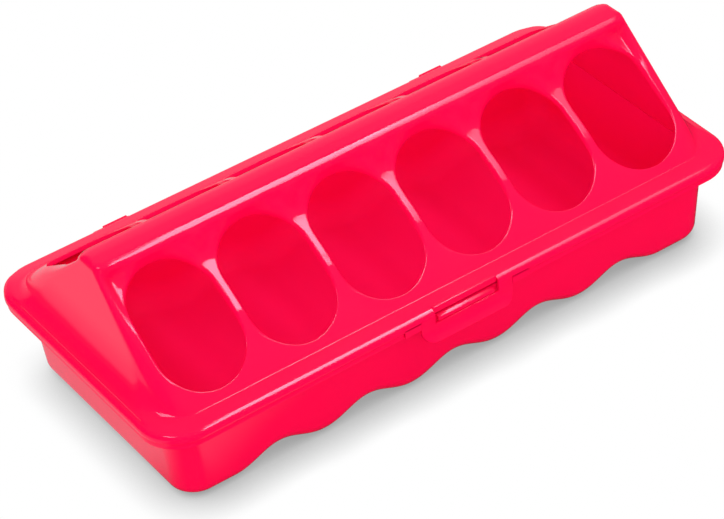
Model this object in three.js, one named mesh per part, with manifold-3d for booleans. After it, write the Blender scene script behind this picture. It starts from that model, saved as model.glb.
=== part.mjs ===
// Flip-top ground feeder for chicks and small birds, moulded in red polypropylene.
// A long trough with a waved floor carries a gabled lid with two rows of feeding holes.
// The lid turns on two pins behind the trough. In front a springy tab on the lid drops over a catch.
// Millimetres. +X runs along the feeder, +Y towards the hinges, +Z up, and it stands on Z = 0.

import * as THREE from "three";
import Module from "manifold-3d";
import { mergeVertices } from "three/addons/utils/BufferGeometryUtils.js";

const wasm = await Module();
wasm.setup();

// Overall sizes
const feederLength = 300;
const feederWidth = 140;
const rimTop = 46;
const ridgeTop = 92;
const rimCorner = 19;
const clearance = 0.3;
const overrun = 3;

// Lid: rim, gable and ridge
const lidWall = 2;
const rimPlate = 1.8;
const skirtWall = 1.8;
const skirtDrop = 4.4;
const rimRound = 2.5;
const rimLedge = 10;
const ridgeWidth = 14;
const ridgeRound = 2.5;
const ridgeCorner = 5;
const ridgeShoulderShare = 0.3;
const gableFootCorner = 6;
const footFillet = 2.4;
const endLean = 3.5;

// Feeding holes: an upright oval whose upper lip is rolled deep into the slope
const holesPerSide = 6;
const holeWidth = 40;
const holeWeb = 5;
const holeHeight = 59;
const holeFoot = 4.5;
const lipDepth = 5;
const lipReach = 7;
const lipGrowthShare = 0.9;
const lipFootShare = 0.06;
const lipKneeReachShare = 0.38;
const lipKneeDepthShare = 0.42;
const cutterLift = 0.12;

// Trough: wall, waved floor and rim
const troughWall = 2;
const wallOverhang = 9.2;
const floorInset = 12;
const wallCorner = 12;
const floorRound = 8;
const archRise = 6.5;
const footFlat = 8;
const rimLipDrop = 3;
const rimLipWall = 1.5;
const rimLipInset = 0.8;

// Latch: shoulders, tab, window and catch
const shoulderHalf = 32;
const shoulderDrop = 7.1;
const tabHalf = 23.7;
const tabTopDrop = 2.7;
const tabDrop = 14.8;
const tabCorner = 6;
const tabFlare = 3;
const tabFlareStart = 9.4;
const windowHalf = 16.5;
const windowDrop = 7.7;
const backRib = 1.5;
const backRibDrop = 3.5;
const catchHalf = 14.5;
const catchReach = 1.8;
const catchTip = 0.7;
const catchShelf = 0.4;

// Hinges: brackets and pins on the trough, clips on the lid
const hingeSpacing = 170;
const hingeOut = 3.2;
const hingeBelow = 9;
const pinRadius = 1.6;
const knuckleRadius = 3.4;
const clipWidth = 12;
const clipWall = 1.8;
const earWall = 2.5;
const sideGap = 0.4;
const bracketDepth = 5.3;
const bracketWeb = 2;
const clipMouthShare = 0.22;
const clipMouthTurnShare = -0.1;

// Values worked out from the sizes above
const halfLength = feederLength / 2;
const halfWidth = feederWidth / 2;
const holePitch = holeWidth + holeWeb;
const skirtFoot = rimTop - skirtDrop;
const footHalfLength = halfLength - rimLedge;
const footHalfWidth = halfWidth - rimLedge;
const ridgeHalf = ridgeWidth / 2;
const ridgeHalfLength = footHalfLength - endLean;
const gableRise = ridgeTop - rimTop;
const slopeRun = footHalfWidth - ridgeHalf;
const slopeLength = Math.hypot(slopeRun, gableRise);
const slopeCos = slopeRun / slopeLength;
const slopeSin = gableRise / slopeLength;
const troughTop = skirtFoot - clearance;
const troughRimUnder = troughTop - rimPlate;
const lipFoot = troughTop - rimLipDrop;
const latchFace = halfWidth - skirtWall;
const rimCutFace = halfWidth - rimLipInset - rimLipWall;
const hingeY = halfWidth + hingeOut;
const hingeZ = rimTop - hingeBelow;
const frontReach = halfWidth + tabFlare;
const backReach = hingeY + knuckleRadius;
const frameShift = (frontReach - backReach) / 2;

// Counts of facets
const cornerSteps = 5;
const roundSteps = 3;
const circleSteps = 16;
const holeSteps = 11;

const redPolypropylene = new THREE.MeshStandardMaterial({ color: 0xf7083a, roughness: 0.22, metalness: 0 });
const redPins = new THREE.MeshStandardMaterial({ color: 0xd90832, roughness: 0.3, metalness: 0 });


// Turns a list of points and a list of triangles into a geometry.
function geometryFrom(points, triangles) {
  const geometry = new THREE.BufferGeometry();
  geometry.setAttribute("position", new THREE.Float32BufferAttribute(points.flat(), 3));
  geometry.setIndex(triangles.flat());
  return geometry;
}

function toSolid(geometry) {
  const plain = geometry.clone();
  plain.deleteAttribute("normal");
  plain.deleteAttribute("uv");
  const merged = mergeVertices(plain);
  const mesh = new wasm.Mesh({
    numProp: 3,
    vertProperties: new Float32Array(merged.attributes.position.array),
    triVerts: new Uint32Array(merged.index.array),
  });
  return new wasm.Manifold(mesh);
}

function fromSolid(solid) {
  const mesh = solid.getMesh();
  const geometry = new THREE.BufferGeometry();
  geometry.setAttribute("position", new THREE.BufferAttribute(new Float32Array(mesh.vertProperties), 3));
  geometry.setIndex(new THREE.BufferAttribute(new Uint32Array(mesh.triVerts), 1));
  const facets = geometry.toNonIndexed();
  facets.computeVertexNormals();
  return facets;
}

// A box between two corners.
function boxSolid(low, high) {
  const size = high.map((value, k) => value - low[k]);
  const box = new THREE.BoxGeometry(...size);
  box.translate(...low.map((value, k) => value + size[k] / 2));
  return toSolid(box);
}

// The near half of a rounded rectangle, from its left end round the near side to its right end.
function nearHalf(halfX, halfY, corner, stations) {
  const points = [];
  for (let k = 0; k <= cornerSteps; k += 1) {
    const angle = Math.PI + (k / cornerSteps) * (Math.PI / 2);
    points.push([-halfX + corner + corner * Math.cos(angle), -halfY + corner + corner * Math.sin(angle)]);
  }
  for (const x of stations) {
    points.push([x, -halfY]);
  }
  for (let k = 0; k <= cornerSteps; k += 1) {
    const angle = 1.5 * Math.PI + (k / cornerSteps) * (Math.PI / 2);
    points.push([halfX - corner + corner * Math.cos(angle), -halfY + corner + corner * Math.sin(angle)]);
  }
  return points;
}

// A whole rounded rectangle at a height, where the height may change along X.
function ringAt(halfX, halfY, corner, stations, heightAt) {
  const near = nearHalf(halfX, halfY, corner, stations);
  const far = near.map(([x, y]) => [x, -y]).reverse();
  return [...near, ...far].map(([x, y]) => [x, y, heightAt(x)]);
}

// Skins a stack of rings and closes its two ends with strips across the width.
function skinRings(rings) {
  const count = rings[0].length;
  const half = count / 2;
  const triangles = [];
  for (let r = 0; r + 1 < rings.length; r += 1) {
    for (let i = 0; i < count; i += 1) {
      const j = (i + 1) % count;
      const low = r * count;
      const high = low + count;
      triangles.push([low + i, low + j, high + j], [low + i, high + j, high + i]);
    }
  }
  const last = (rings.length - 1) * count;
  for (let i = 0; i + 1 < half; i += 1) {
    const a = i;
    const b = i + 1;
    const c = count - 2 - i;
    const d = count - 1 - i;
    triangles.push([a, c, b], [a, d, c]);
    triangles.push([last + a, last + b, last + c], [last + a, last + c, last + d]);
  }
  return geometryFrom(rings.flat(), triangles);
}

// Plain loft through rounded rectangles, each given as half sizes, corner and height.
function loftSolid(sections) {
  const rings = sections.map((s) => ringAt(s.halfX, s.halfY, s.corner, [], () => s.z));
  return toSolid(skinRings(rings));
}

// A flat outline in Y and Z, swept from one X to another.
function sweepAlongX(outline, fromX, toX) {
  const shape = new THREE.Shape(outline.map(([y, z]) => new THREE.Vector2(y, z)));
  const geometry = new THREE.ExtrudeGeometry(shape, { depth: toX - fromX, bevelEnabled: false, steps: 1 });
  const place = new THREE.Matrix4().makeBasis(
    new THREE.Vector3(0, 1, 0),
    new THREE.Vector3(0, 0, 1),
    new THREE.Vector3(1, 0, 0),
  );
  geometry.applyMatrix4(place);
  geometry.translate(fromX, 0, 0);
  return toSolid(geometry);
}

// Points on an arc in the Y and Z plane.
function arcPoints(centreY, centreZ, radius, fromAngle, toAngle, steps) {
  const points = [];
  for (let k = 0; k <= steps; k += 1) {
    const angle = fromAngle + (k / steps) * (toAngle - fromAngle);
    points.push([centreY + radius * Math.cos(angle), centreZ + radius * Math.sin(angle)]);
  }
  return points;
}


// Trough

// Height of the trough's floor above the table: a flat foot under each hole and an arch between feet.
function floorHeight(x) {
  const lastFoot = ((holesPerSide - 1) / 2) * holePitch;
  if (Math.abs(x) >= lastFoot) {
    return 0;
  }
  const alongPitch = (((x + lastFoot) % holePitch) + holePitch) % holePitch;
  const fromFoot = Math.min(alongPitch, holePitch - alongPitch);
  const flat = footFlat / 2;
  if (fromFoot <= flat) {
    return 0;
  }
  const climb = (fromFoot - flat) / (holePitch / 2 - flat);
  return (archRise / 2) * (1 - Math.cos(Math.PI * climb));
}

// Places along X where the waved floor has its points.
function floorStations() {
  const stations = [];
  const climbSteps = 4;
  const flat = footFlat / 2;
  const climbRun = holePitch / 2 - flat;
  for (let arch = 0; arch < holesPerSide - 1; arch += 1) {
    const centre = (arch - (holesPerSide - 2) / 2) * holePitch;
    for (let k = -climbSteps; k <= climbSteps; k += 1) {
      stations.push(centre + (k / climbSteps) * climbRun);
    }
  }
  return stations;
}

// The trough's section from the outer floor, up the wall, over the rim and down inside.
function troughRings() {
  const stations = floorStations();
  const rings = [];
  const add = (inset, corner, base, waveShare) => {
    const height = (x) => base + waveShare * floorHeight(x);
    rings.push(ringAt(halfLength - inset, halfWidth - inset, corner, stations, height));
  };
  const innerRound = floorRound - troughWall;
  for (let k = 0; k <= roundSteps; k += 1) {
    const angle = (k / roundSteps) * (Math.PI / 2);
    const inset = floorInset + floorRound * (1 - Math.sin(angle));
    add(inset, wallCorner - (inset - floorInset) / 2, floorRound * (1 - Math.cos(angle)), 1);
  }
  add(wallOverhang, wallCorner, troughRimUnder, 0);
  add(rimLipInset + rimLipWall, rimCorner - rimLipInset - rimLipWall, troughRimUnder, 0);
  add(rimLipInset + rimLipWall, rimCorner - rimLipInset - rimLipWall, lipFoot, 0);
  add(rimLipInset, rimCorner - rimLipInset, lipFoot, 0);
  add(rimLipInset, rimCorner - rimLipInset, troughTop, 0);
  add(wallOverhang + troughWall, wallCorner - troughWall, troughTop, 0);
  for (let k = roundSteps; k >= 0; k -= 1) {
    const angle = (k / roundSteps) * (Math.PI / 2);
    const inset = floorInset + troughWall + innerRound * (1 - Math.sin(angle));
    const corner = wallCorner - troughWall - (inset - floorInset - troughWall) / 2;
    add(inset, corner, troughWall + innerRound * (1 - Math.cos(angle)), 1);
  }
  return rings;
}

function feedTrough() {
  const shell = toSolid(skinRings(troughRings()));
  const latchGap = shoulderHalf + clearance;
  const lipCut = boxSolid(
    [-latchGap, -halfWidth - overrun, lipFoot - overrun],
    [latchGap, -rimCutFace, troughTop + overrun],
  );
  return fromSolid(shell.subtract(lipCut));
}

// Wedge on the trough's front rim that the lid's tab snaps under.
function latchCatch() {
  const shelf = rimTop - windowDrop + catchShelf;
  const outline = [
    [-rimCutFace, shelf],
    [-rimCutFace, troughTop],
    [-rimCutFace - catchReach, shelf + catchTip],
    [-rimCutFace - catchReach, shelf],
  ];
  return fromSolid(sweepAlongX(outline, -catchHalf, catchHalf));
}


// Lid

// Places a geometry drawn on a slope (X along it, Y up it, Z out of it) on the near or far slope.
function placeOnSlope(geometry, side) {
  const place = new THREE.Matrix4().makeBasis(
    new THREE.Vector3(1, 0, 0),
    new THREE.Vector3(0, slopeCos, slopeSin),
    new THREE.Vector3(0, -slopeSin, slopeCos),
  );
  place.setPosition(0, -footHalfWidth, rimTop);
  geometry.applyMatrix4(place);
  if (side > 0) {
    geometry.rotateZ(Math.PI);
  }
  return geometry;
}

function holeCentres() {
  return Array.from({ length: holesPerSide }, (_, k) => (k - (holesPerSide - 1) / 2) * holePitch);
}

// Points round an upright oval hole, each with the direction that leads away from the hole.
function holeOutline(centre) {
  const radius = holeWidth / 2;
  const low = holeFoot + radius;
  const high = holeFoot + holeHeight - radius;
  const points = [];
  for (const [middle, start] of [[high, 0], [low, Math.PI]]) {
    for (let k = 0; k <= holeSteps; k += 1) {
      const angle = start + (k / holeSteps) * Math.PI;
      const away = [Math.cos(angle), Math.sin(angle)];
      points.push({ x: centre + radius * away[0], up: middle + radius * away[1], away });
    }
  }
  return points;
}

// Share of the full lip at a height on the slope: hardly any at the hole's foot, all of it at its top.
function lipGrowth(up) {
  const climb = Math.min(Math.max((up - holeFoot) / holeHeight, 0), 1);
  return lipFootShare + (1 - lipFootShare) * climb ** lipGrowthShare;
}

// One ring round a hole, some way out from its edge and at its own depth at every point.
function lipRing(centre, reachShare, depthAt) {
  return holeOutline(centre).map((p) => {
    const reach = lipReach * reachShare * lipGrowth(p.up);
    return [p.x + reach * p.away[0], p.up + reach * p.away[1], depthAt(p.up)];
  });
}

// Closes a stack of loops into a solid.
function skinLoops(loops) {
  const count = loops[0].length;
  const points = loops.flat();
  const triangles = [];
  for (let r = 0; r + 1 < loops.length; r += 1) {
    for (let i = 0; i < count; i += 1) {
      const j = (i + 1) % count;
      const low = r * count;
      const high = low + count;
      triangles.push([low + i, low + j, high + j], [low + i, high + j, high + i]);
    }
  }
  const last = (loops.length - 1) * count;
  for (let i = 1; i + 1 < count; i += 1) {
    triangles.push([0, i + 1, i], [last, last + i, last + i + 1]);
  }
  return geometryFrom(points, triangles);
}

// The flare of a hole's rolled lip, set in by a depth, from the hole's edge out to the slope.
function lipLoops(centre, inset) {
  return [
    lipRing(centre, 0, (up) => -inset - lipDepth * lipGrowth(up)),
    lipRing(centre, lipKneeReachShare, (up) => -inset - lipKneeDepthShare * lipDepth * lipGrowth(up)),
    lipRing(centre, 1, () => cutterLift - inset),
    lipRing(centre, 1, () => overrun),
  ];
}

// Everything a hole takes out of the gable's outside: its shaft and the flare of its lip.
function holeCutter(centre) {
  const shaft = lipRing(centre, 0, () => -lipDepth - lidWall - overrun);
  return skinLoops([shaft, ...lipLoops(centre, 0)]);
}

// What a lip takes out of the gable's hollow, so that the wall keeps its thickness round the hole.
function lipBacking(centre) {
  return skinLoops(lipLoops(centre, lidWall));
}

// Outside of the gable, from under the rim's plate to the rounded ridge.
function gableOutside() {
  const lean = (z) => (endLean * (z - rimTop)) / gableRise;
  const run = (z) => (slopeRun * (z - rimTop)) / gableRise;
  const roundBack = ridgeRound * Math.tan(Math.asin(slopeSin) / 2);
  const roundDrop = roundBack * slopeSin;
  const onSlope = (z) => ({ halfX: footHalfLength - lean(z), halfY: footHalfWidth - run(z), z });
  const filletFoot = { halfX: footHalfLength + footFillet, halfY: footHalfWidth + footFillet };
  const sections = [
    { ...filletFoot, z: rimTop - rimPlate },
    { ...filletFoot, z: rimTop },
    onSlope(rimTop + footFillet),
    onSlope(ridgeTop - roundDrop),
    {
      halfX: ridgeHalfLength - roundBack / 2,
      halfY: ridgeHalf,
      z: ridgeTop - ridgeShoulderShare * roundDrop,
    },
    { halfX: ridgeHalfLength - ridgeRound, halfY: ridgeHalf - roundBack, z: ridgeTop },
  ];
  const cornerAt = (z) => {
    const share = Math.min(Math.max((z - rimTop) / gableRise, 0), 1);
    return gableFootCorner + share * (ridgeCorner - gableFootCorner);
  };
  return loftSolid(sections.map((s) => ({ ...s, corner: cornerAt(s.z) })));
}

// Hollow of the gable, one wall inside its outside and open below.
function gableInside() {
  const wallAcross = lidWall / slopeSin;
  const low = skirtFoot - overrun;
  const high = ridgeTop - lidWall;
  const section = (z) => ({
    halfX: footHalfLength - lidWall - (endLean * Math.max(z - rimTop, 0)) / gableRise,
    halfY: footHalfWidth - wallAcross - (slopeRun * Math.max(z - rimTop, 0)) / gableRise,
    corner: z > rimTop ? ridgeCorner - lidWall : gableFootCorner - lidWall,
    z,
  });
  return loftSolid([section(low), section(rimTop), section(high)]);
}

// Rim of the lid: a flat plate with a rounded outer edge and a short skirt.
function rimSolid() {
  const sections = [{ inset: 0, z: skirtFoot }];
  for (let k = 0; k <= roundSteps; k += 1) {
    const angle = (k / roundSteps) * (Math.PI / 2);
    const inset = rimRound * (1 - Math.cos(angle));
    sections.push({ inset, z: rimTop - rimRound * (1 - Math.sin(angle)) });
  }
  const outside = loftSolid(
    sections.map(({ inset, z }) => ({
      halfX: halfLength - inset,
      halfY: halfWidth - inset,
      corner: rimCorner - inset,
      z,
    })),
  );
  const hollow = {
    halfX: halfLength - skirtWall,
    halfY: halfWidth - skirtWall,
    corner: rimCorner - skirtWall,
  };
  const inside = loftSolid([
    { ...hollow, z: skirtFoot - overrun },
    { ...hollow, z: rimTop - rimPlate },
  ]);
  return outside.subtract(inside);
}

// The skirt's deeper apron beside the tab, and the rib behind the window.
function latchApron() {
  const apron = boxSolid(
    [-shoulderHalf, -halfWidth, rimTop - shoulderDrop],
    [shoulderHalf, -latchFace, rimTop - rimRound],
  );
  const rib = boxSolid(
    [-windowHalf - backRib, -latchFace, rimTop - backRibDrop],
    [windowHalf + backRib, -latchFace + backRib, rimTop - rimPlate / 2],
  );
  return apron.add(rib);
}

function feedingLid() {
  const slopes = [-1, 1];
  let outside = gableOutside();
  let inside = gableInside();
  for (const side of slopes) {
    for (const centre of holeCentres()) {
      outside = outside.subtract(toSolid(placeOnSlope(holeCutter(centre), side)));
      inside = inside.subtract(toSolid(placeOnSlope(lipBacking(centre), side)));
    }
  }
  const lid = rimSolid().add(latchApron()).add(outside).subtract(inside);
  const tabGap = boxSolid(
    [-tabHalf, -halfWidth - overrun, rimTop - shoulderDrop - overrun],
    [tabHalf, -latchFace, rimTop - tabTopDrop],
  );
  const windowNotch = boxSolid(
    [-windowHalf, -halfWidth - overrun, rimTop - windowDrop],
    [windowHalf, -latchFace, rimTop + overrun],
  );
  return fromSolid(lid.subtract(tabGap).subtract(windowNotch));
}

// Springy tab under the rim: two straps beside the window and a finger lip that flares out below.
function latchTab() {
  const top = rimTop - tabTopDrop;
  const foot = rimTop - tabDrop;
  const flareTop = rimTop - tabFlareStart;
  const flareSteps = 4;
  const outer = [];
  const inner = [];
  for (let k = 0; k <= flareSteps; k += 1) {
    const share = k / flareSteps;
    const out = tabFlare * share * share;
    const z = flareTop + (foot - flareTop) * share;
    outer.push([-halfWidth - out, z]);
    inner.push([-latchFace - out, z]);
  }
  const profile = [[-latchFace, top], [-halfWidth, top], ...outer, ...inner.reverse()];
  const plate = sweepAlongX(profile, -tabHalf, tabHalf);
  const shape = new THREE.Shape();
  shape.moveTo(-tabHalf, top);
  shape.lineTo(-tabHalf, foot + tabCorner);
  shape.absarc(-tabHalf + tabCorner, foot + tabCorner, tabCorner, Math.PI, 1.5 * Math.PI, false);
  shape.absarc(tabHalf - tabCorner, foot + tabCorner, tabCorner, 1.5 * Math.PI, 2 * Math.PI, false);
  shape.lineTo(tabHalf, top);
  const front = new THREE.ExtrudeGeometry(shape, {
    depth: tabFlare + skirtWall + 2 * overrun,
    bevelEnabled: false,
    steps: 1,
    curveSegments: cornerSteps,
  });
  front.rotateX(Math.PI / 2);
  front.translate(0, -latchFace + overrun, 0);
  const windowCut = boxSolid(
    [-windowHalf, -halfWidth - overrun, rimTop - windowDrop],
    [windowHalf, -latchFace + overrun, rimTop + overrun],
  );
  return fromSolid(plate.intersect(toSolid(front)).subtract(windowCut));
}


// Hinges

// Bracket under the trough's back rim: two ears that hold a pin, joined by a web.
function hingeBracket(centreX) {
  const inner = clipWidth / 2 + sideGap;
  const outer = inner + earWall;
  const backEnd = hingeY - knuckleRadius - bracketDepth;
  const round = arcPoints(hingeY, hingeZ, knuckleRadius, -0.5 * Math.PI, 0.75 * Math.PI, circleSteps / 2);
  const shoulderY = hingeY - knuckleRadius * Math.cos(Math.PI / 4);
  const outline = [
    ...round,
    [shoulderY - clearance, lipFoot],
    [backEnd, lipFoot],
    [backEnd, hingeZ - knuckleRadius],
  ];
  const ear = (from, to) => sweepAlongX(outline, centreX + from, centreX + to);
  const web = boxSolid(
    [centreX - outer, backEnd, hingeZ - knuckleRadius],
    [centreX + outer, backEnd + bracketWeb, lipFoot],
  );
  return fromSolid(ear(-outer, -inner).add(ear(inner, outer)).add(web));
}

function hingePin(centreX) {
  const half = clipWidth / 2 + sideGap;
  const outline = arcPoints(hingeY, hingeZ, pinRadius, 0, 2 * Math.PI, circleSteps).slice(0, -1);
  return fromSolid(sweepAlongX(outline, centreX - half, centreX + half));
}

// Clip on the lid: a strap from the skirt with an open hook round the pin.
function lidClip(centreX) {
  const bore = pinRadius + clearance;
  const mouth = clipMouthShare * 2 * Math.PI;
  const middle = clipMouthTurnShare * 2 * Math.PI;
  const start = middle + mouth / 2;
  const end = middle - mouth / 2 + 2 * Math.PI;
  const outline = [
    ...arcPoints(hingeY, hingeZ, knuckleRadius, start, end, circleSteps),
    ...arcPoints(hingeY, hingeZ, bore, end, start, circleSteps),
  ];
  const hook = sweepAlongX(outline, centreX - clipWidth / 2, centreX + clipWidth / 2);
  const strap = boxSolid(
    [centreX - clipWidth / 2, halfWidth, hingeZ + bore + clearance],
    [centreX + clipWidth / 2, halfWidth + clipWall, rimTop - rimRound],
  );
  return fromSolid(hook.add(strap));
}


// Assembly

const group = new THREE.Group();
const feeder = new THREE.Group();
feeder.position.y = frameShift;
group.add(feeder);

function place(name, geometry, material) {
  const mesh = new THREE.Mesh(geometry, material);
  mesh.name = name;
  feeder.add(mesh);
}

place("feed_trough", feedTrough(), redPolypropylene);
place("latch_catch", latchCatch(), redPolypropylene);
place("feeding_lid", feedingLid(), redPolypropylene);
place("latch_tab", latchTab(), redPolypropylene);

const hinges = [["left", -hingeSpacing / 2], ["right", hingeSpacing / 2]];
for (const [side, centreX] of hinges) {
  place(`hinge_bracket_${side}`, hingeBracket(centreX), redPolypropylene);
  place(`hinge_pin_${side}`, hingePin(centreX), redPins);
  place(`lid_clip_${side}`, lidClip(centreX), redPolypropylene);
}

export default group;
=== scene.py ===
# %% [markdown]
# # A red flip-top feeder for chicks
#
# The object in the photograph is a long feeding trough with a gabled lid, both moulded in glossy
# red polypropylene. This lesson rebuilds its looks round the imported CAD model: the lid, the latch
# and the trough, then the plastic, and at last the floor, the lamps and the camera. Sizes are
# written in millimetres, and every mesh is turned into metres when it is made.

import math

import bmesh
import bpy
import numpy as np
from mathutils import Matrix, Vector


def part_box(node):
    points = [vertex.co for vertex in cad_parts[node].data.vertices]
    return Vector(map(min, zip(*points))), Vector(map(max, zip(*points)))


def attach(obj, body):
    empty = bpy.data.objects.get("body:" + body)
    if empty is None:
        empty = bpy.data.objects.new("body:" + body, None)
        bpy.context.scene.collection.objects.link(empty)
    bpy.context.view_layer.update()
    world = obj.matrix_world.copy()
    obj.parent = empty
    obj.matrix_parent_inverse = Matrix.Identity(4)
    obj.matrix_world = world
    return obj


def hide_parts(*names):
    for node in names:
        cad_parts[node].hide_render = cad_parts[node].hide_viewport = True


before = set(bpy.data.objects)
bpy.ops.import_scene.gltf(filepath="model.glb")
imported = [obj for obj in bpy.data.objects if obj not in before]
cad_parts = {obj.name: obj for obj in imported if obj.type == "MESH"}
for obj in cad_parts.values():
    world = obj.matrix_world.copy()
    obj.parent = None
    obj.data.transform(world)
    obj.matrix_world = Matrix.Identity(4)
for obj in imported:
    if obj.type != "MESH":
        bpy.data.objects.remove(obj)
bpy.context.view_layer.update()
print("CAD nodes:", sorted(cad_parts))

# %% [markdown]
# ## Sizes
#
# The real feeder is 300 mm long. Its lid rises at 41 degrees from a flat rim to a narrow ridge, with
# six holes in each slope. Sizes could be measured off the CAD nodes one by one. They are written
# here instead, because a size with a name can be read and changed. Only the feeder's place in the
# frame is measured, from the box of the lid.

# %% Sizes in millimetres
MM = 0.001
LENGTH, WIDTH = 300.0, 140.0
RIM_TOP, RIDGE_TOP = 46.0, 92.0
SKIRT_FOOT = 41.6
RIM_CORNER = 19.0
LEDGE = 10.0
FOOT_X, FOOT_Y = LENGTH / 2 - LEDGE, WIDTH / 2 - LEDGE
RIDGE_HALF, END_LEAN = 7.0, 3.5
FOOT_CORNER, RIDGE_CORNER = 12.0, 5.2
RISE = RIDGE_TOP - RIM_TOP
RUN = FOOT_Y - RIDGE_HALF
SLOPE = math.hypot(RUN, RISE)
LID_WALL = 1.9

HOLE_WIDTH, HOLE_HEIGHT, HOLE_FOOT = 40.0, 59.0, 4.5
PITCH = 45.0
HOLES = [(k - 2.5) * PITCH for k in range(6)]
HOLE_LOW = HOLE_FOOT + HOLE_WIDTH / 2
HOLE_HIGH = HOLE_FOOT + HOLE_HEIGHT - HOLE_WIDTH / 2

lid_low, lid_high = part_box("feeding_lid")
SHIFT = (lid_low.y + lid_high.y) / 2 / MM
print(f"slope {SLOPE:.1f} mm long, the feeder sits {SHIFT:.2f} mm off the frame's origin in Y")

# %% [markdown]
# ## A mesh from points
#
# A moulding could be shaped by hand from a cube. Here each piece is a list of points and faces that
# formulas work out, which gives exact sizes and an even roll round every hole. Doubled points are
# merged, so that neighbouring strips join, and shading is smooth but at sharp edges.

# %% A mesh object from points and faces
SHARP_ANGLE = 40.0
MERGE_WITHIN, SLIVER = 2e-6, 1e-7


def smooth(piece):
    """Smooth shading everywhere but at sharp edges."""
    piece.data.shade_smooth()
    piece.data.set_sharp_from_angle(angle=math.radians(SHARP_ANGLE))


def new_piece(name, points, faces):
    """Makes a mesh object from points in millimetres, with doubled points merged."""
    mesh = bpy.data.meshes.new(name)
    shifted = (np.asarray(points, float) + [0, SHIFT, 0]) * MM
    mesh.from_pydata(shifted.tolist(), [], [tuple(int(i) for i in f) for f in faces])
    piece = bpy.data.objects.new(name, mesh)
    bpy.context.scene.collection.objects.link(piece)
    soup = bmesh.new()
    soup.from_mesh(mesh)
    bmesh.ops.remove_doubles(soup, verts=soup.verts, dist=MERGE_WITHIN)
    bmesh.ops.dissolve_degenerate(soup, edges=soup.edges, dist=SLIVER)
    bmesh.ops.recalc_face_normals(soup, faces=soup.faces)
    soup.to_mesh(mesh)
    soup.free()
    smooth(piece)
    return piece


print("edges stay crisp above", SHARP_ANGLE, "degrees")

# %% [markdown]
# ## Wall thickness, rounded edges and cuts
#
# A moulding has an even wall, edges that are never quite sharp, and clean openings. All three could
# be written as points too, but the Solidify, Bevel and Boolean modifiers do it in one line each.
# They are applied at once, so that later steps work on the finished mesh.

# %% Modifiers that are applied at once
OVERRUN = 3.0


def apply(piece, kind, **settings):
    """Adds a modifier with its settings and applies it."""
    modifier = piece.modifiers.new(kind, kind)
    for key, value in settings.items():
        setattr(modifier, key, value)
    bpy.context.view_layer.objects.active = piece
    with bpy.context.temp_override(object=piece, active_object=piece):
        bpy.ops.object.modifier_apply(modifier=modifier.name)


def round_edges(piece, radius, segments, from_angle=50):
    """Rounds the edges that are sharper than an angle in degrees."""
    limit = math.radians(from_angle)
    apply(piece, "BEVEL", width=radius * MM, segments=segments, limit_method="ANGLE", angle_limit=limit)


def slab(low, high):
    """Points and faces of a block between two corners."""
    corners = [(x, y, z) for x in (low[0], high[0]) for y in (low[1], high[1]) for z in (low[2], high[2])]
    faces = [(0, 1, 3, 2), (4, 6, 7, 5), (0, 4, 5, 1), (2, 3, 7, 6), (0, 2, 6, 4), (1, 5, 7, 3)]
    return corners, faces


def cut_out(piece, low, high):
    """Cuts the block between two corners out of a piece."""
    cutter = new_piece("cutter", *slab(low, high))
    apply(piece, "BOOLEAN", object=cutter, operation="DIFFERENCE", solver="EXACT")
    bpy.data.objects.remove(cutter)


print("cuts run", OVERRUN, "mm past the plastic")

# %% [markdown]
# ## Half a skin and its mirror image
#
# Both mouldings are the same in front and behind, apart from the latch and the hinges. The whole
# surface could be written out, but the near half and its mirror image are enough. It is collected as
# grids of quads, whose rows follow the rounded forms, so that highlights run without kinks.

# %% Grids of quads, collected and mirrored
def grid_faces(index, closed=False):
    """Quads between the rows and columns of an array of point numbers."""
    rows, columns = index.shape
    faces = []
    for r in range(rows - 1):
        for c in range(columns if closed else columns - 1):
            d = (c + 1) % columns
            faces.append((index[r, c], index[r, d], index[r + 1, d], index[r + 1, c]))
    return faces


class Skin:
    """Collects the points and faces of the near half of a moulding."""

    def __init__(self):
        self.points, self.faces, self.count = [], [], 0

    def add_grid(self, rings, closed=False):
        rings = np.asarray(rings)
        rows, columns = rings.shape[:2]
        index = np.arange(rows * columns).reshape(rows, columns) + self.count
        self.points.append(rings.reshape(-1, 3))
        self.faces += grid_faces(index, closed)
        self.count += rows * columns

    def add_face(self, points):
        self.points.append(np.asarray(points))
        self.faces.append(tuple(range(self.count, self.count + len(points))))
        self.count += len(points)

    def mirrored(self):
        """The near half and its mirror image."""
        points = np.concatenate(self.points)
        flipped = points * [1, -1, 1]
        faces = self.faces + [tuple(i + self.count for i in reversed(f)) for f in self.faces]
        return np.concatenate([points, flipped]), faces


print("a grid of 3 by 4 points has", len(grid_faces(np.arange(12).reshape(3, 4))), "faces")

# %% [markdown]
# ## The gable's wall
#
# The lid's slopes and end walls are one wall, which turns round the corners and leans inwards as it
# rises. Four flat faces with bevelled hips would look stiff. Here a place on the wall has two
# numbers: `u` runs along the feeder and round the corner on to the end wall, and `s` climbs the
# slope. The level section has rounded corners and shrinks as it climbs, which rounds the hips.

# %% The wall's point and normal at a place
def section(s):
    """Half sizes, corner radius and height of the gable's level section."""
    share = s / SLOPE
    half_x = FOOT_X - END_LEAN * share
    half_y = FOOT_Y - RUN * share
    corner = FOOT_CORNER + (RIDGE_CORNER - FOOT_CORNER) * share
    return half_x, half_y, corner, RIM_TOP + RISE * share


def turn_angle(u, s):
    """How far a place has turned from the near side to the end wall, with its sign."""
    half_x, _, corner, _ = section(s)
    return np.sign(u) * np.clip((np.abs(u) - (half_x - corner)) / corner, 0, math.pi / 2)


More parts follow.
